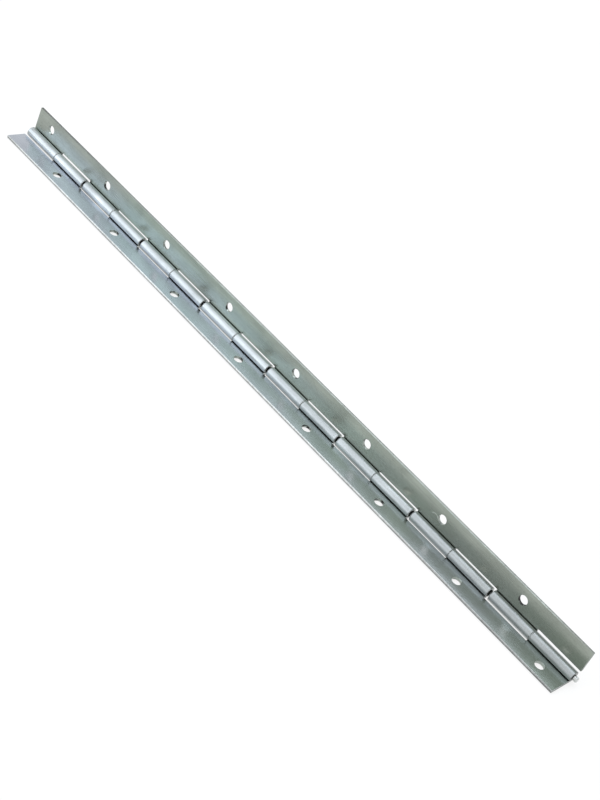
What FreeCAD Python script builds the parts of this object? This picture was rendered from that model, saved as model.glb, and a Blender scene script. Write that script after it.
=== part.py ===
import FreeCAD, Part
import math
import os

from FreeCAD import Vector

# Piano hinge: two identical stamped and curled steel leaves on one wire pin.
# Millimetres. +X runs along the pin, +Z up. The frame leaf lies flat on its back at z = 0 and
# the door leaf stands at a right angle to it. The origin is on the frame leaf's back face, at
# the middle of its line of screw holes.

# Sheet and pin
sheet_thickness = 1.06
pin_diameter = 2.0
pin_running_clearance = 0.05  # radial, between the pin and a knuckle that turns on it
pin_end_chamfer = 0.2
pin_slip = 1.6  # how far the pin has been pushed out of the +X end

# Leaves
leaf_width = 11.1  # from the pin's axis to the free edge
knuckle_pitch = 19.05
knuckles_per_leaf = 8
end_trim = 0.4  # cut off each end of a leaf, short of a whole number of knuckles

# Fit of one leaf in the other
knuckle_gap = 0.54  # free length at each joint between knuckles, with the leaves centred
tight_joint = 0.09  # what is left of it at every other joint, as the door leaf has slid to +X
notch_clearance = 0.55  # between a knuckle's outside and the bottom of the notch it turns in
notch_corner_radius = 0.4
seam_gap = 0.3  # between the lip of the curl and the front of its own leaf

# Screw holes
hole_diameter = 3.5
hole_distance = 6.6  # from the pin's axis

# Sizes that follow
pin_radius = pin_diameter / 2
bore_radius = pin_radius + pin_running_clearance
barrel_radius = bore_radius + sheet_thickness
nominal_length = 2 * knuckles_per_leaf * knuckle_pitch
leaf_length = nominal_length - 2 * end_trim
notch_bottom = barrel_radius + notch_clearance
hole_pitch = 2 * knuckle_pitch
end_play_taken = knuckle_gap - tight_joint
first_hole = knuckle_pitch / 2  # from the nominal end, so each hole is in line with its knuckle
tool_overrun = 1.0  # how far a cutting tool runs past the metal it cuts

# The frame leaf's hole line is centred on x = 0.
hole_line_centre = first_hole + (knuckles_per_leaf - 1) * hole_pitch / 2
pin_axis = Vector(0, hole_distance, barrel_radius)


def on_circle(radius, degrees):
    """Point of a circle round the pin's axis, in the leaf's own Y-Z plane."""
    angle = math.radians(degrees)
    return Vector(0, radius * math.cos(angle), radius * math.sin(angle))


def curl_section(knuckle_bore):
    """Section of one curl: the sheet wraps the pin from the leaf's edge and ends in a lip.

    The leaf lies on the +Y side with its back at z = -barrel_radius, level with the curl's lowest
    point. The curl goes round by -Y and over the top and ends in an open seam above the leaf's
    front face.
    """
    lip = -math.degrees(math.asin((bore_radius - seam_gap) / barrel_radius))
    outside = Part.Arc(
        on_circle(barrel_radius, -90), on_circle(barrel_radius, 135), on_circle(barrel_radius, lip)
    )
    inside = Part.Arc(
        on_circle(knuckle_bore, lip), on_circle(knuckle_bore, 135), on_circle(knuckle_bore, -90)
    )
    lip_end = Part.LineSegment(outside.EndPoint, inside.StartPoint)
    root = Part.LineSegment(inside.EndPoint, outside.StartPoint)
    return Part.Face(Part.Wire([part.toShape() for part in (outside, lip_end, inside, root)]))


def knuckle_span(number):
    """Where a leaf's knuckle begins and ends along the pin, counted from the leaf's first one."""
    start = 2 * number * knuckle_pitch
    end = start + knuckle_pitch - knuckle_gap / 2
    start += end_trim if number == 0 else knuckle_gap / 2
    return start, end


def notch_tool(start, end):
    """Punch for one notch in the flat sheet, with rounded corners at its bottom."""
    depth = notch_bottom + barrel_radius + tool_overrun
    height = sheet_thickness + 2 * tool_overrun
    corner = Vector(start, -barrel_radius - tool_overrun, -barrel_radius - tool_overrun)
    punch = Part.makeBox(end - start, depth, height, corner)
    bottom_corners = [
        edge
        for edge in punch.Edges
        if abs(edge.CenterOfMass.y - notch_bottom) < tool_overrun / 10
        and abs(edge.tangentAt(edge.FirstParameter).z) > 0.9
    ]
    return punch.makeFillet(notch_corner_radius, bottom_corners)


def notches():
    """The spaces for the other leaf's knuckles; the last one is open at the leaf's end."""
    tools = []
    for number in range(knuckles_per_leaf):
        start = knuckle_span(number)[1]
        if number + 1 < knuckles_per_leaf:
            end = knuckle_span(number + 1)[0]
        else:
            end = nominal_length + tool_overrun + notch_corner_radius
        tools.append(notch_tool(start, end))
    return tools


def screw_hole_punches():
    """One round punch for each knuckle, in line with the knuckle's middle."""
    base = -barrel_radius - tool_overrun
    height = sheet_thickness + 2 * tool_overrun
    return [
        Part.makeCylinder(
            hole_diameter / 2,
            height,
            Vector(first_hole + number * hole_pitch, hole_distance, base),
        )
        for number in range(knuckles_per_leaf)
    ]


def leaf(first_knuckle_grips_pin):
    """A leaf lying flat on the +Y side of the pin's axis, its nominal end at x = 0.

    Both leaves are this one stamping. Where the first knuckle grips the pin, its curl has been
    closed tight on it.
    """
    panel = Part.makeBox(
        leaf_length, leaf_width, sheet_thickness, Vector(end_trim, 0, -barrel_radius)
    )
    blank = panel.cut(notches() + screw_hole_punches())
    curls = []
    for number in range(knuckles_per_leaf):
        grips = first_knuckle_grips_pin and number == 0
        start, end = knuckle_span(number)
        section = curl_section(pin_radius if grips else bore_radius)
        section.translate(Vector(start, 0, 0))
        curls.append(section.extrude(Vector(end - start, 0, 0)))
    return blank.fuse(curls).removeSplitter()


def frame_leaf():
    """The leaf that lies flat, turned end for end so that it reaches out on the -Y side."""
    shape = leaf(first_knuckle_grips_pin=True)
    shape.rotate(Vector(0, 0, 0), Vector(0, 0, 1), 180)
    shape.translate(pin_axis + Vector(hole_line_centre, 0, 0))
    return shape


def door_leaf():
    """The leaf that swings, standing at a right angle with its back on the +Y side."""
    shape = leaf(first_knuckle_grips_pin=False)
    shape.rotate(Vector(0, 0, 0), Vector(1, 0, 0), 90)
    shape.translate(pin_axis + Vector(hole_line_centre - nominal_length + end_play_taken, 0, 0))
    return shape


def hinge_pin():
    """Plain wire as long as the leaves, with both ends chamfered."""
    start = hole_line_centre - nominal_length + end_trim + pin_slip
    wire = Part.makeCylinder(
        pin_radius, leaf_length, pin_axis + Vector(start, 0, 0), Vector(1, 0, 0)
    )
    rims = [
        edge
        for edge in wire.Edges
        if isinstance(edge.Curve, Part.Circle)
    ]
    return wire.makeChamfer(pin_end_chamfer, rims)


def save(name, shape):
    shape.exportStep(os.path.join("parts", name + ".step"))
    print(name, "solids", len(shape.Solids), "valid", shape.isValid(), "volume", round(shape.Volume, 2))


os.makedirs("parts", exist_ok=True)
save("frame_leaf", frame_leaf())
save("door_leaf", door_leaf())
save("hinge_pin", hinge_pin())
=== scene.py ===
import math

import bpy
from mathutils import Matrix, Vector


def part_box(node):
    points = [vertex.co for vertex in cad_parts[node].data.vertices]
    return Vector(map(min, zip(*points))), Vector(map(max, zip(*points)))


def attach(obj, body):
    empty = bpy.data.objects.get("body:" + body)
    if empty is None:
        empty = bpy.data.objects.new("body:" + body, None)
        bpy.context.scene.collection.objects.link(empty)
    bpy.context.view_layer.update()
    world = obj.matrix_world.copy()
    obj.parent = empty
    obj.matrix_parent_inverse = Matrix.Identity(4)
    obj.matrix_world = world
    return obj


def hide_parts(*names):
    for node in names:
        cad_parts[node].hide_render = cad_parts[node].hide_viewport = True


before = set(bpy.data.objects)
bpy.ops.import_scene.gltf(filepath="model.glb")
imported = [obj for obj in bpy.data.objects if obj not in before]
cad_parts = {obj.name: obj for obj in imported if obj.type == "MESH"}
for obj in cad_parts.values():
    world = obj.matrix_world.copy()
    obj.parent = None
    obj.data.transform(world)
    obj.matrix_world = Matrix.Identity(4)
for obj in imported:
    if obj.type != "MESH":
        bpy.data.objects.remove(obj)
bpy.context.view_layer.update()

# Looks of the piano hinge. Metres, in the CAD's frame: +X along the pin, +Z up, the frame leaf
# flat on the floor and the door leaf standing on edge.
mm = 0.001

# Sizes of the hinge, as in the CAD
sheet_thickness = 1.06 * mm
pin_running_clearance = 0.05 * mm
pin_end_chamfer = 0.2 * mm
knuckles_per_leaf = 8
knuckle_pitch = 19.05 * mm
end_trim = 0.4 * mm
knuckle_gap = 0.54 * mm
notch_clearance = 0.55 * mm
seam_gap = 0.3 * mm
hole_diameter = 3.5 * mm

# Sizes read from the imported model, and what follows from them
frame_leaf_low, frame_leaf_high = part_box("frame_leaf")
door_leaf_low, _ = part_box("door_leaf")
pin_low, pin_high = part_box("hinge_pin")
barrel_radius = frame_leaf_high.z / 2
pin_radius = (pin_high.z - pin_low.z) / 2
pin_axis = Vector((0, (pin_low.y + pin_high.y) / 2, (pin_low.z + pin_high.z) / 2))
nominal_length = 2 * knuckles_per_leaf * knuckle_pitch
leaf_width = pin_axis.y - frame_leaf_low.y
hole_distance = pin_axis.y  # the origin is on the frame leaf's line of holes
bore_radius = pin_radius + pin_running_clearance
notch_bottom = barrel_radius + notch_clearance
mid_sheet_radius = barrel_radius - sheet_thickness / 2
lip_turn = 2 * math.pi - math.acos((bore_radius - seam_gap) / barrel_radius)
curl_length = lip_turn * mid_sheet_radius

# Fine shape that the CAD leaves out. The slits beside the barrel open up towards the hinge's
# ends, so most notches are shallower than the CAD's, and their corners are tighter.
notch_corner_radius = 0.15 * mm
least_notch_clearance = 0.18 * mm  # any less and the leaves touch when folded right back
notch_slant = 0.17 * mm  # how much deeper the punched notches are at the sheet's back
middle_notches = knuckles_per_leaf - 2
frame_notch_clearances = [notch_clearance] + middle_notches * [0.25 * mm] + [notch_clearance]
door_notch_clearances = [0.4 * mm] + middle_notches * [least_notch_clearance] + [notch_clearance]
edge_round = 0.09 * mm  # rounding of the sheet's edges
pin_edge_round = 0.04 * mm

# Fineness of the meshes
edge_steps = 3
fillet_steps = 5
hole_points = 48
pin_sides = 48
curl_step = math.radians(5)
curl_rows = round(lip_turn / curl_step)

# A knuckle is divided across into rows, from its flat sides to the lip of its curl. Its ends are
# joint steel from the second row on.
side_end = barrel_radius + least_notch_clearance - notch_corner_radius
joint_steel_start = 0.7 * mm
knuckle_rows = [side_end, joint_steel_start]
knuckle_rows += [-curl_length * row / curl_rows for row in range(curl_rows + 1)]

# Material slots of a leaf's mesh
face_slot, edge_slot, hole_slot, joint_slot = range(4)


def rounded_edge():
    """Section across the sheet's edge, from the back to the front: (distance in, height)."""
    back = []
    for step in range(edge_steps + 1):
        angle = math.pi / 2 * step / edge_steps
        back.append((edge_round * (1 - math.sin(angle)), edge_round * (1 - math.cos(angle))))
    front = [(distance, sheet_thickness - height) for distance, height in reversed(back)]
    return back + front


def inset(line, distance):
    """A closed line moved sideways by distance, to the left of its direction."""
    least_cosine = 0.3  # keeps the point of a sharp corner short
    moved = []
    for index, point in enumerate(line):
        before = (point - line[index - 1]).normalized()
        after = (line[(index + 1) % len(line)] - point).normalized()
        left_before = Vector((-before.y, before.x))
        left_after = Vector((-after.y, after.x))
        middle = (left_before + left_after).normalized()
        moved.append(point + middle * (distance / max(least_cosine, middle.dot(left_before))))
    return moved


def slant_share(across):
    """Share of the notches' slant: 1 at their bottoms, 0 along the curls and the free edge."""
    if across > notch_bottom + notch_clearance / 2:
        return 0
    start = barrel_radius - notch_corner_radius
    return min(1, max(0, (across - start) / notch_corner_radius))


def is_joint(first, second):
    """Whether a stretch of the outline is a curl's lip, or an end of it that faces another one."""
    on_curl = max(first.y, second.y) < joint_steel_start + edge_round
    at_hinge_end = max(first.x, second.x) < end_trim + edge_round
    return on_curl and not at_hinge_end


class Sheet:
    """One leaf's mesh, drawn as its flat blank and rolled up round the pin.

    A point of the blank is (x, across, height): across is the distance from the pin's axis to the
    free edge, and below zero it runs on round the curl. Height is measured from the back face.
    """

    def __init__(self, placing):
        self.placing = placing
        self.points = []
        self.faces = []
        self.face_slots = []
        self.blank_places = []

    def point(self, x, across, height):
        if across >= 0:
            y, z = across, height - barrel_radius
        else:
            turn = -across / mid_sheet_radius
            radius = barrel_radius - height
            y, z = -radius * math.sin(turn), -radius * math.cos(turn)
        self.points.append(self.placing @ Vector((x, y, z)))
        self.blank_places.append((x, across, height))
        return len(self.points) - 1

    def pair(self, x, across):
        """A point on the back and its twin on the front."""
        return self.point(x, across, 0), self.point(x, across, sheet_thickness)

    def face(self, corners, slot=face_slot):
        self.faces.append(corners)
        self.face_slots.append(slot)

    def both_sides(self, corner_pairs):
        """A face on the front and its twin on the back, from (back, front) corners."""
        self.face([front for _, front in corner_pairs])
        self.face([back for back, _ in reversed(corner_pairs)])

    def rim(self, line, slot):
        """The sheet's edge along a closed line, in the slot's steel except at the joints.

        Returns the (back, front) pairs of points that bound the sheet's two sides.
        """
        rings = []
        for distance, height in rounded_edge():
            slant = notch_slant * (1 - height / sheet_thickness)
            ring = [
                self.point(moved.x, moved.y + slant * slant_share(point.y), height)
                for moved, point in zip(inset(line, distance), line)
            ]
            rings.append(ring)
        for lower, upper in zip(rings, rings[1:]):
            for index in range(len(line)):
                following = (index + 1) % len(line)
                self.face(
                    [lower[index], lower[following], upper[following], upper[index]],
                    joint_slot if is_joint(line[index], line[following]) else slot,
                )
        return list(zip(rings[0], rings[-1]))


def knuckle_span(number):
    """Where a leaf's knuckle begins and ends along the pin, counted from the leaf's first one."""
    start = 2 * number * knuckle_pitch
    end = start + knuckle_pitch - knuckle_gap / 2
    start += end_trim if number == 0 else knuckle_gap / 2
    return start, end


def knuckle_middle(number):
    """Where a knuckle's middle and its screw hole are along the pin."""
    return (2 * number + 0.5) * knuckle_pitch


def notch_corner(knuckle_side, towards, bottom):
    """Rounded corner of a notch, from the knuckle's side to the notch's bottom.

    Towards is 1 for the notch that follows the knuckle along the blank, and -1 for the one before
    it. The corner's first point is left out where the knuckle's first row is next to it.
    """
    start = bottom - notch_corner_radius
    points = []
    for step in range(0 if start > side_end + edge_round else 1, fillet_steps + 1):
        angle = math.pi / 2 * step / fillet_steps
        x = knuckle_side + towards * notch_corner_radius * (1 - math.cos(angle))
        points.append((x, start + notch_corner_radius * math.sin(angle)))
    return points


class Outline:
    """A leaf's outline on its flat blank, as (x, across) points in named and numbered stretches.

    Notch number n follows knuckle number n, and the last notch is open at the leaf's end.
    """

    def __init__(self, notch_clearances):
        self.line = []
        self.stretches = {}
        bottoms = [barrel_radius + clearance for clearance in notch_clearances]
        self.draw("edge left", 0, [(end_trim, leaf_width)])
        for number in range(knuckles_per_leaf):
            start, end = knuckle_span(number)
            corner = notch_corner(start, -1, bottoms[number - 1]) if number > 0 else []
            self.draw("left corner", number, corner[::-1])
            self.draw("left side", number, [(start, across) for across in knuckle_rows])
            self.draw("lip", number, [(knuckle_middle(number), -curl_length)])
            self.draw("right side", number, [(end, across) for across in knuckle_rows[::-1]])
            self.draw("right corner", number, notch_corner(end, 1, bottoms[number]))
        far_end = nominal_length - end_trim
        self.draw("left corner", knuckles_per_leaf, [(far_end, bottoms[-1])])
        self.draw("edge left", knuckles_per_leaf, [(far_end, leaf_width)])
        for number in reversed(range(knuckles_per_leaf)):
            start, end = knuckle_span(number)
            self.draw("edge right", number, [(end + notch_corner_radius, leaf_width)])
            self.draw("edge middle", number, [(knuckle_middle(number), leaf_width)])
            if number > 0:
                self.draw("edge left", number, [(start - notch_corner_radius, leaf_width)])

    def draw(self, stretch, number, points):
        begin = len(self.line)
        self.line.extend(Vector(point) for point in points)
        self.stretches[stretch, number] = slice(begin, len(self.line))


def screw_hole(number):
    """Outline of the screw hole in line with a knuckle's middle."""
    centre = Vector((knuckle_middle(number), hole_distance))
    turns = [2 * math.pi * step / hole_points for step in range(hole_points)]
    return [
        centre + hole_diameter / 2 * Vector((math.sin(turn), math.cos(turn))) for turn in turns
    ]


def smooth_object(name, mesh):
    """Object for a mesh, shaded smooth with flat faces kept flat."""
    mesh.polygons.foreach_set("use_smooth", [True] * len(mesh.polygons))
    mesh.validate()
    mesh.update()
    piece = bpy.data.objects.new(name, mesh)
    bpy.context.scene.collection.objects.link(piece)
    normals = piece.modifiers.new("normals", "WEIGHTED_NORMAL")
    normals.keep_sharp = True
    normals.weight = 100
    return piece


def leaf_piece(name, placing, notch_clearances):
    """A leaf with its knuckles curled from its own sheet, and rounded edges all round."""
    sheet = Sheet(placing)
    outline = Outline(notch_clearances)
    border = sheet.rim(outline.line, edge_slot)

    def pairs(stretch, number):
        return border[outline.stretches[stretch, number]]

    for number in range(knuckles_per_leaf):
        hole = sheet.rim(screw_hole(number), hole_slot)
        half = hole_points // 2
        right_of_hole = hole[: half + 1]
        left_of_hole = hole[half:] + hole[:1]

        # The knuckle, in a left and a right half
        left = pairs("left side", number)
        middle = [sheet.pair(knuckle_middle(number), across) for across in knuckle_rows[:-1]]
        middle += pairs("lip", number)
        right = pairs("right side", number)[::-1]
        for row in range(len(knuckle_rows) - 1):
            for one, other in ((left, middle), (middle, right)):
                sheet.both_sides([one[row], one[row + 1], other[row + 1], other[row]])

        # The flat part outside it, left and right of the hole
        edge_middle = pairs("edge middle", number)
        left_end = pairs("edge left", number) + pairs("left corner", number) + left[:1]
        sheet.both_sides(left_end + middle[:1] + left_of_hole + edge_middle)
        right_end = right[:1] + pairs("right corner", number) + pairs("edge right", number)
        sheet.both_sides(middle[:1] + right_end + edge_middle + right_of_hole)

        # The flat part outside the notch that follows
        at_notch = pairs("right corner", number)[-1:] + pairs("left corner", number + 1)[:1]
        at_free_edge = pairs("edge left", number + 1) + pairs("edge right", number)
        sheet.both_sides(at_notch + at_free_edge)

    mesh = bpy.data.meshes.new(name)
    mesh.from_pydata([tuple(point) for point in sheet.points], [], sheet.faces)
    mesh.polygons.foreach_set("material_index", sheet.face_slots)
    blank = mesh.attributes.new("blank", "FLOAT_VECTOR", "POINT")
    blank.data.foreach_set("vector", [part for place in sheet.blank_places for part in place])
    return smooth_object(name, mesh)


def pin_piece(name):
    """The wire pin, turned about its axis from its outline, with chamfered ends."""
    chamfer_foot = pin_radius - pin_end_chamfer
    end_outline = [
        (0, 0),
        (0, chamfer_foot - pin_edge_round),
        (pin_edge_round / 2, chamfer_foot),
        (pin_end_chamfer, pin_radius - pin_edge_round / 2),
        (pin_end_chamfer + pin_edge_round, pin_radius),
    ]
    outline = [(pin_low.x + inwards, radius) for inwards, radius in end_outline]
    outline += [(pin_high.x - inwards, radius) for inwards, radius in reversed(end_outline)]

    points, faces, rings = [], [], []
    for x, radius in outline:
        corners = pin_sides if radius > 0 else 1
        rings.append(range(len(points), len(points) + corners))
        for corner in range(corners):
            turn = 2 * math.pi * corner / corners
            y, z = radius * math.cos(turn), radius * math.sin(turn)
            points.append((x, pin_axis.y + y, pin_axis.z + z))
    for first, second in zip(rings, rings[1:]):
        for side in range(pin_sides):
            following = (side + 1) % pin_sides
            if len(first) == 1:
                faces.append([first[0], second[following], second[side]])
            elif len(second) == 1:
                faces.append([first[side], first[following], second[0]])
            else:
                faces.append([first[side], first[following], second[following], second[side]])
    mesh = bpy.data.meshes.new(name)
    mesh.from_pydata(points, [], faces)
    return smooth_object(name, mesh)


# Leaves and pin. The frame leaf's blank begins at the hinge's +X end, and the door leaf's at its
# -X end.
frame_leaf_start = Matrix.Translation(pin_axis + Vector((frame_leaf_high.x + end_trim, 0, 0)))
door_leaf_start = Matrix.Translation(pin_axis + Vector((door_leaf_low.x - end_trim, 0, 0)))
frame_leaf_placing = frame_leaf_start @ Matrix.Rotation(math.pi, 4, "Z")
door_leaf_placing = door_leaf_start @ Matrix.Rotation(math.pi / 2, 4, "X")
frame_leaf = leaf_piece("frame_leaf_strip", frame_leaf_placing, frame_notch_clearances)
door_leaf = leaf_piece("door_leaf_strip", door_leaf_placing, door_notch_clearances)
pin = pin_piece("pin_wire")


class Nodes:
    """Small helper that builds a material's node tree."""

    def __init__(self, name):
        self.material = bpy.data.materials.new(name)
        self.material.use_nodes = True
        self.tree = self.material.node_tree
        self.shader = self.tree.nodes["Principled BSDF"]

    def add(self, kind, settings=None, **inputs):
        """New node. An input is a value, or another node's output to link."""
        node = self.tree.nodes.new("ShaderNode" + kind)
        for key, value in (settings or {}).items():
            setattr(node, key, value)
        for key, value in inputs.items():
            self.put(node.inputs[key.replace("_", " ")], value)
        return node

    def put(self, socket, value):
        if isinstance(value, bpy.types.NodeSocket):
            self.tree.links.new(value, socket)
        else:
            socket.default_value = value

    def set(self, **inputs):
        """Inputs of the material's own shader."""
        for key, value in inputs.items():
            self.put(self.shader.inputs[key.replace("_", " ")], value)

    def math(self, operation, first, *others):
        """A Math node, or a chain of them for more than two values."""
        for other in others or (0.0,):
            node = self.add("Math", {"operation": operation})
            self.put(node.inputs[0], first)
            self.put(node.inputs[1], other)
            first = node.outputs[0]
        return first

    def noise(self, scale, detail=2.0, roughness=0.5, distortion=0.0):
        """Noise in the hinge's own metres. Scale is cycles per metre along X, Y and Z."""
        place = self.add("TexCoord").outputs["Object"]
        stretched = self.add("Mapping", Vector=place, Scale=scale).outputs[0]
        node = self.add(
            "TexNoise", Vector=stretched, Scale=1.0, Detail=detail, Roughness=roughness,
            Distortion=distortion,
        )
        return node.outputs["Fac"]

    def spread(self, value, low, high, to_low, to_high):
        """Value mapped from low..high to to_low..to_high, clamped."""
        node = self.add("MapRange", {"clamp": True})
        self.put(node.inputs["Value"], value)
        self.put(node.inputs["From Min"], low)
        self.put(node.inputs["From Max"], high)
        self.put(node.inputs["To Min"], to_low)
        self.put(node.inputs["To Max"], to_high)
        return node.outputs["Result"]

    def vary(self, noise, low, high):
        """Noise mapped to low..high. Nearly all of it lies between 0.3 and 0.7."""
        return self.spread(noise, 0.3, 0.7, low, high)

    def mix(self, factor, first, second, blend="MIX"):
        node = self.add("Mix", {"data_type": "RGBA", "blend_type": blend})
        self.put(node.inputs[0], factor)
        for socket, colour in ((node.inputs[6], first), (node.inputs[7], second)):
            self.put(socket, colour if isinstance(colour, bpy.types.NodeSocket) else (*colour, 1))
        return node.outputs[2]

    def shade(self, colour, tone):
        """Colour made darker or lighter by a factor."""
        grey = self.add("CombineColor")
        for socket in grey.inputs:
            self.put(socket, tone)
        return self.mix(1.0, colour, grey.outputs[0], "MULTIPLY")

    def bump(self, height, distance):
        """Relief for the shader. Distance is what a height of 1 is worth."""
        bump = self.add("Bump", Height=height, Strength=1.0, Distance=distance)
        self.set(Normal=bump.outputs[0])

    def blank_place(self):
        """Along, across and height on the leaf's flat blank."""
        blank = self.add("Attribute", {"attribute_name": "blank"}).outputs["Vector"]
        return self.add("SeparateXYZ", Vector=blank).outputs


# Colours that the materials have in common, and that of a scratch. The near-black one is
# painted shade, for the joints, the crevices along the lips and the pin inside the barrel.
painted_shade_colour = (0.025, 0.027, 0.025)
curl_colour = (0.375, 0.40, 0.40)
scratch_colour = (0.75, 0.78, 0.74)

# The curl's look fades into the strip's between these distances from the pin's axis.
curl_look_end = 0.3 * mm
strip_look_start = 1.8 * mm


def painted_crevice_shade(steel, along, across):
    """1 where painted shade darkens the joints and the crevices along the lips, 0 elsewhere.

    The knuckle's end that is the end of the hinge has none.
    """
    pitch_line = steel.math("PINGPONG", along, knuckle_pitch / 2)
    from_end = steel.math("SUBTRACT", pitch_line, knuckle_gap / 2)
    on_knuckle = steel.spread(across, 0.4 * mm, 1.2 * mm, 1, 0)
    near_joint = steel.spread(from_end, 0.09 * mm, 0.28 * mm, 1, 0)
    off_hinge_end = steel.spread(along, 0.6 * mm, 1.0 * mm, 0, 1)
    joint_shade = steel.math("MULTIPLY", on_knuckle, near_joint, off_hinge_end)
    lip_shade = steel.spread(across, 0.22 * mm - curl_length, 0.08 * mm - curl_length, 0, 1)
    return steel.math("MAXIMUM", joint_shade, lip_shade)


def scratch_line(steel, along, across, scratch):
    """Strength of a curved scratch whose middle is at scratch, as (x, across) on the blank."""
    radius = 1.7 * mm
    strength = 0.8
    sideways = steel.math("SUBTRACT", along, scratch[0])
    outwards = steel.math("SUBTRACT", across, scratch[1] - radius)
    squares = [steel.math("POWER", distance, 2.0) for distance in (sideways, outwards)]
    from_centre = steel.math("SQRT", steel.math("ADD", *squares))
    off_line = steel.math("ABSOLUTE", steel.math("SUBTRACT", from_centre, radius))
    on_line = steel.spread(off_line, 0.05 * mm, 0.16 * mm, strength, 0)
    on_arc = steel.spread(outwards, 0.7 * mm, 1.2 * mm, 0, 1)
    return steel.math("MULTIPLY", on_line, on_arc)


def rolled_steel(name, colour, other_colour, far_light_colour, mottling, scratch=None):
    """Cold-rolled strip: soft blotches, drawn grain along X, fine specks, and painted shade in the
    joints.

    The strip's tint drifts along it to a lighter one: painted light that stands in for the light
    changing along the hinge. The curls have a colour of their own and are rougher.
    """
    roughness = 0.24
    steel = Nodes(name)
    along, across, _ = steel.blank_place()
    blotches = steel.noise((55, 95, 95), detail=3, roughness=0.55, distortion=0.6)
    clouds = steel.noise((17, 40, 40), detail=2)
    grain = steel.noise((45, 1900, 1900), detail=3, roughness=0.6)
    specks = steel.noise((1500, 1900, 1900), detail=2, roughness=0.7)
    waves = steel.noise((120, 260, 260), detail=1)
    # Painted shade: near black at the knuckles' ends by the joints and in the crevices along the
    # lips
    crevice_shade = painted_crevice_shade(steel, along, across)

    tinted = steel.mix(steel.spread(clouds, 0.38, 0.62, 0, 1), colour, other_colour)
    # Painted light: a lighter tint towards the far end of the strip
    light_drift = steel.spread(along, 0.25 * nominal_length, 0.65 * nominal_length, 0, 0.8)
    tinted = steel.mix(light_drift, tinted, far_light_colour)
    on_strip = steel.spread(across, curl_look_end, strip_look_start, 0, 1)
    tinted = steel.mix(on_strip, curl_colour, tinted)
    tone = steel.math(
        "MULTIPLY",
        steel.vary(blotches, 1 - mottling, 1 + mottling),
        steel.vary(grain, 0.94, 1.06),
        steel.spread(specks, 0.28, 0.42, 0.82, 1.0),
    )
    clean_or_unshaded = steel.shade(tinted, tone)
    if scratch:
        clean_or_unshaded = steel.mix(scratch_line(steel, along, across, scratch), clean_or_unshaded, scratch_colour)
    steel.set(Base_Color=steel.mix(crevice_shade, clean_or_unshaded, painted_shade_colour), Metallic=1.0)

    rough = steel.math(
        "ADD",
        steel.vary(blotches, roughness + 0.05, roughness - 0.05),
        steel.vary(grain, 0.03, -0.03),
        steel.spread(across, curl_look_end, strip_look_start, 0.10, 0),
        steel.math("MULTIPLY", crevice_shade, 0.25),
    )
    steel.set(Roughness=rough)
    height = steel.math(
        "ADD", grain, steel.math("MULTIPLY", waves, 6.0), steel.math("MULTIPLY", specks, 0.5)
    )
    steel.bump(height, 0.003 * mm)
    return steel.material


def cut_steel(name, colour, torn_share):
    """Sheared edge of the sheet: torn and duller next to the back, burnished next to the front.

    It is darker towards the start of the blank too: painted shade, as that end gets less light.
    """
    roughness = 0.4
    ragged = 0.08 * mm  # how far the torn part's border wanders
    steel = Nodes(name)
    along, _, height = steel.blank_place()
    marks = steel.noise((1400, 260, 260), detail=3, roughness=0.65)
    patches = steel.noise((170, 170, 170), detail=2)
    height = steel.math("ADD", height, steel.vary(marks, -ragged, ragged))
    torn = torn_share * sheet_thickness
    tone = steel.math(
        "MULTIPLY",
        steel.vary(marks, 0.86, 1.08),
        steel.spread(patches, 0.35, 0.65, 0.9, 1.06),
        # Painted shade: darker towards the start of the blank
        steel.spread(along, 0.08 * nominal_length, 0.35 * nominal_length, 0.55, 1),
        steel.spread(height, torn - ragged, torn + ragged, 0.5, 1),
    )
    steel.set(Base_Color=steel.shade(colour, tone), Metallic=1.0)
    steel.set(Roughness=steel.vary(marks, roughness + 0.08, roughness - 0.06))
    steel.bump(marks, 0.012 * mm)
    return steel.material


def torn_or_shaded_steel(name, colour, dark_colour, roughness, clean_share=None, unshaded_depth=None):
    """Metal that a punch has torn, or that is painted dark as painted shade.

    Either a share of it is left clean, in patches, or all of it up to a depth from the sheet's
    back, deeper than which it is painted shade.
    """
    steel = Nodes(name)
    tears = steel.noise((420, 420, 420), detail=3, roughness=0.6)
    if unshaded_depth:
        ragged = 0.1 * mm  # how far the unshaded part's border wanders
        height = steel.blank_place()["Z"]
        height = steel.math("ADD", height, steel.vary(tears, -ragged, ragged))
        # Painted shade: dark deeper into the sheet, towards the bore
        clean_or_unshaded = steel.spread(height, unshaded_depth - ragged, unshaded_depth + ragged, 1, 0)
    else:
        middle = 0.5 + 0.25 * (0.5 - clean_share)
        clean_or_unshaded = steel.spread(tears, middle - 0.06, middle + 0.06, 0, 1)
    steel.set(
        Base_Color=steel.mix(clean_or_unshaded, dark_colour, colour),
        Metallic=1.0,
        Roughness=steel.spread(clean_or_unshaded, 0, 1, roughness + 0.15, roughness - 0.05),
    )
    steel.bump(tears, 0.03 * mm)
    return steel.material


def wire_steel(name, colour):
    """Drawn wire with streaks along it, in its own colour where it stands out of the barrel.

    Inside the knuckles it is painted near black, painted shade for the dark bore around it.
    """
    roughness = 0.2
    steel = Nodes(name)
    streaks = steel.noise((60, 3200, 3200), detail=3, roughness=0.6)
    smears = steel.noise((240, 500, 500), detail=2)
    tone = steel.math(
        "MULTIPLY",
        steel.vary(streaks, 0.8, 1.15),
        steel.spread(smears, 0.35, 0.65, 0.8, 1.1),
    )
    place = steel.add("TexCoord").outputs["Object"]
    along = steel.add("SeparateXYZ", Vector=place).outputs["X"]
    barrel_end = frame_leaf_high.x
    # Painted shade: near black inside the barrel, its own colour only where it stands out
    outside = steel.spread(along, barrel_end + 0.1 * mm, barrel_end + 0.3 * mm, 0, 1)
    steel.set(
        Base_Color=steel.mix(outside, painted_shade_colour, steel.shade(colour, tone)),
        Metallic=1.0,
        Roughness=steel.spread(smears, 0.35, 0.65, roughness + 0.08, roughness - 0.04),
    )
    steel.bump(streaks, 0.004 * mm)
    return steel.material


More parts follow.
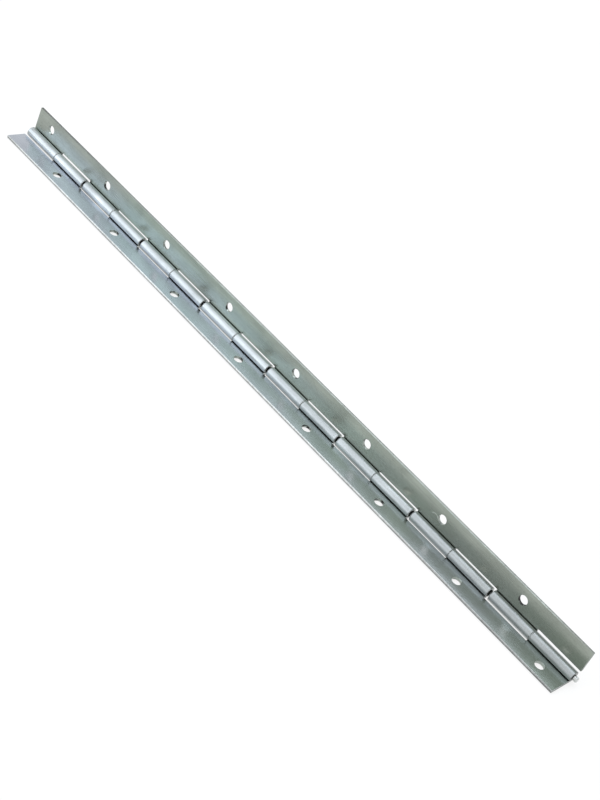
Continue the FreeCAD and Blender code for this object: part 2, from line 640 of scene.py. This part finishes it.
scratched_hole = 6  # counted from 0 at the door leaf's -X end
scratch = (knuckle_middle(scratched_hole) - 3.1 * mm, hole_distance - 0.15 * mm)
# One steel for both leaves: the frame leaf's copy is painted lighter and bluer, painted light, and
# the door leaf's darker, painted shade
frame_lit_steel = rolled_steel(
    "frame_lit_steel", colour=(0.395, 0.445, 0.41), other_colour=(0.41, 0.44, 0.445),
    far_light_colour=(0.425, 0.455, 0.515), mottling=0.12,
)
door_shaded_steel = rolled_steel(
    "door_shaded_steel", colour=(0.28, 0.34, 0.29), other_colour=(0.31, 0.34, 0.305),
    far_light_colour=(0.32, 0.35, 0.305), mottling=0.13, scratch=scratch,
)
hole_steel = torn_or_shaded_steel(
    "hole_steel", (0.34, 0.38, 0.35), (0.03, 0.03, 0.03), roughness=0.35, clean_share=0.6
)
# The joints' steel: painted shade, near black deeper than 0.75 mm from the sheet's back
joint_steel = torn_or_shaded_steel(
    "joint_steel", (0.58, 0.61, 0.6), painted_shade_colour, roughness=0.5, unshaded_depth=0.75 * mm
)
# One cut edge for both leaves: the frame leaf's painted pale as a painted highlight, the door
# leaf's darker as painted shade
frame_lit_edge_steel = cut_steel("frame_lit_edge_steel", (0.74, 0.77, 0.76), torn_share=0.5)
door_shaded_edge_steel = cut_steel("door_shaded_edge_steel", (0.34, 0.37, 0.34), torn_share=0.4)
pin_steel = wire_steel("pin_steel", (0.60, 0.62, 0.61))
for material in (frame_lit_steel, frame_lit_edge_steel, hole_steel, joint_steel):
    frame_leaf.data.materials.append(material)
for material in (door_shaded_steel, door_shaded_edge_steel, hole_steel, joint_steel):
    door_leaf.data.materials.append(material)
pin.data.materials.append(pin_steel)

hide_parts("frame_leaf")
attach(frame_leaf, "frame_leaf")
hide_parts("door_leaf")
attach(door_leaf, "door_leaf")
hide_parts("hinge_pin")
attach(pin, "frame_leaf")

# Floor: white paper that shows nearly unshaded but keeps the hinge's shadow
floor_reach = 4.0
floor_gap = 0.2 * mm  # below the frame leaf's back, so that the two faces don't coincide
unshaded_share = 0.8
corners = ((-1, -1), (1, -1), (1, 1), (-1, 1))
floor_mesh = bpy.data.meshes.new("floor")
floor_mesh.from_pydata(
    [(x * floor_reach, y * floor_reach, 0) for x, y in corners], [], [(0, 1, 2, 3)]
)
floor = bpy.data.objects.new("floor", floor_mesh)
floor.location.z = -floor_gap
bpy.context.scene.collection.objects.link(floor)
paper = Nodes("paper")
paper.set(Base_Color=(0.95, 0.95, 0.95, 1), Roughness=0.9, Specular_IOR_Level=0.0)
path = paper.add("LightPath").outputs
seen = paper.math(
    "MAXIMUM", path["Is Camera Ray"], path["Is Glossy Ray"], path["Is Transmission Ray"]
)
white = paper.add("Emission")
surface = paper.add("MixShader", Fac=paper.math("MULTIPLY", seen, unshaded_share))
paper.put(surface.inputs[1], paper.shader.outputs[0])
paper.put(surface.inputs[2], white.outputs[0])
paper.put(paper.tree.nodes["Material Output"].inputs["Surface"], surface.outputs[0])
floor_mesh.materials.append(paper.material)

# World: white wherever it is seen or mirrored, softer as light
light_strength = 0.8
world = bpy.data.worlds.new("studio")
bpy.context.scene.world = world
world.use_nodes = True
background = world.node_tree.nodes["Background"]
background.inputs["Color"].default_value = (1, 1, 1, 1)
world_path = world.node_tree.nodes.new("ShaderNodeLightPath")
strength = world.node_tree.nodes.new("ShaderNodeMapRange")
strength.inputs["To Min"].default_value = 1.0
strength.inputs["To Max"].default_value = light_strength
world.node_tree.links.new(world_path.outputs["Is Diffuse Ray"], strength.inputs["Value"])
world.node_tree.links.new(strength.outputs["Result"], background.inputs["Strength"])


def direction(azimuth, elevation):
    """Unit vector from the hinge, for an azimuth counted from -Y towards +X. Degrees."""
    turn, rise = math.radians(azimuth), math.radians(elevation)
    return Vector(
        (math.sin(turn) * math.cos(rise), -math.cos(turn) * math.cos(rise), math.sin(rise))
    )


# Lamps: cool light from the left as from windows, and from behind and above
window_light = (0.81, 0.88, 0.99)
lamp_distance = 2.0


def softbox(name, azimuth, elevation, wide, high, brightness):
    """Area lamp that faces the hinge. Wide and high are the angles that it fills, in degrees.

    Brightness is that of the lamp's face, where white paper in plain light is 1.
    """
    lamp = bpy.data.lights.new(name, "AREA")
    lamp.shape = "RECTANGLE"
    lamp.size = 2 * lamp_distance * math.tan(math.radians(wide / 2))
    lamp.size_y = 2 * lamp_distance * math.tan(math.radians(high / 2))
    lamp.energy = brightness * math.pi * lamp.size * lamp.size_y
    lamp.color = window_light
    towards = direction(azimuth, elevation)
    holder = bpy.data.objects.new(name, lamp)
    holder.location = towards * lamp_distance
    holder.rotation_euler = towards.to_track_quat("Z", "Y").to_euler()
    bpy.context.scene.collection.objects.link(holder)


softbox("low_window", azimuth=-40, elevation=13, wide=38, high=25, brightness=2.4)
softbox("high_window", azimuth=-49, elevation=38, wide=30, high=26, brightness=1.9)
softbox("far_window", azimuth=-82, elevation=60, wide=40, high=26, brightness=0.9)
softbox("back_light", azimuth=-150, elevation=60, wide=30, high=30, brightness=2.9)
softbox("overhead", azimuth=-60, elevation=86, wide=34, high=30, brightness=0.9)

# Camera at the photograph's viewing angle, fitted to the hinge's edges, joints and holes. It is
# rolled, because the hinge lies aslant in the photograph, from upper left to lower right.
camera_aim = Vector((7.32, 6.90, 2.36)) * mm
camera_distance = 531.36 * mm
camera_roll = math.radians(26.263)
camera_data = bpy.data.cameras.new("camera")
camera_data.sensor_width = 36  # millimetres, and so is the lens
camera_data.lens = 68.081
camera_data.clip_start = 0.01
camera_data.clip_end = 100
camera = bpy.data.objects.new("camera", camera_data)
bpy.context.scene.collection.objects.link(camera)
bpy.context.scene.camera = camera
back = direction(azimuth=31.594, elevation=33.864)
camera.location = camera_aim + back * camera_distance
camera.rotation_mode = "QUATERNION"
level = (-back).to_track_quat("-Z", "Y")
camera.rotation_quaternion = Matrix.Rotation(camera_roll, 3, back).to_quaternion() @ level

bpy.context.scene.view_settings.view_transform = "Standard"
